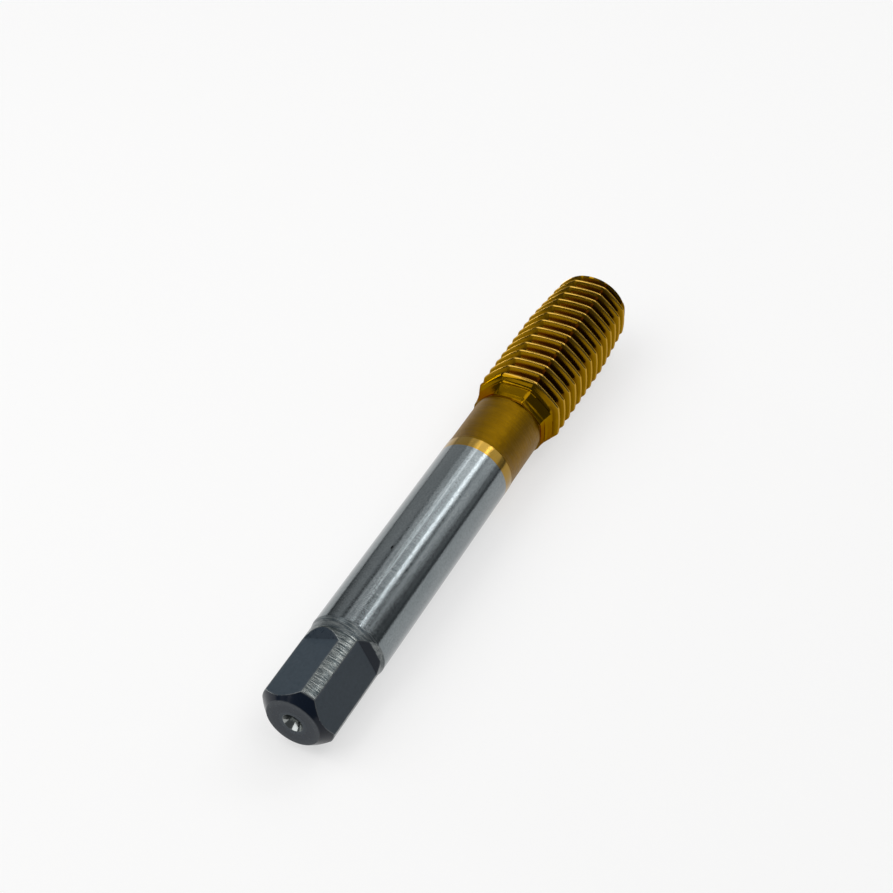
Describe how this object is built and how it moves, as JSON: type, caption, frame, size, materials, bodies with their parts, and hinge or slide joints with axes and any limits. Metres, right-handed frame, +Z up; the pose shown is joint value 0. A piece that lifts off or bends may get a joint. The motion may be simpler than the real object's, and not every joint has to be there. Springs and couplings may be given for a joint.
{
  "type": "thread forming tap",
  "caption": "Fluteless M14 x 2 thread forming tap with a lobed, coated thread, a ground round shank and a black square drive end, lying on its side.",
  "frame": {"origin": "on the surface that the tap lies on, below the middle of its length", "axes": "+X towards the tip of the thread, +Z up from the surface that the tap lies on, +Y to its left"},
  "size_m": [0.0952, 0.0134, 0.0137],
  "materials": {
    "tool_steel": "ground bright on the shank, black oxide on the square, gold titanium nitride on the neck and thread"
  },
  "bodies": {
    "root": {"thread_tap": "tool_steel"}
  },
  "joints": []
}
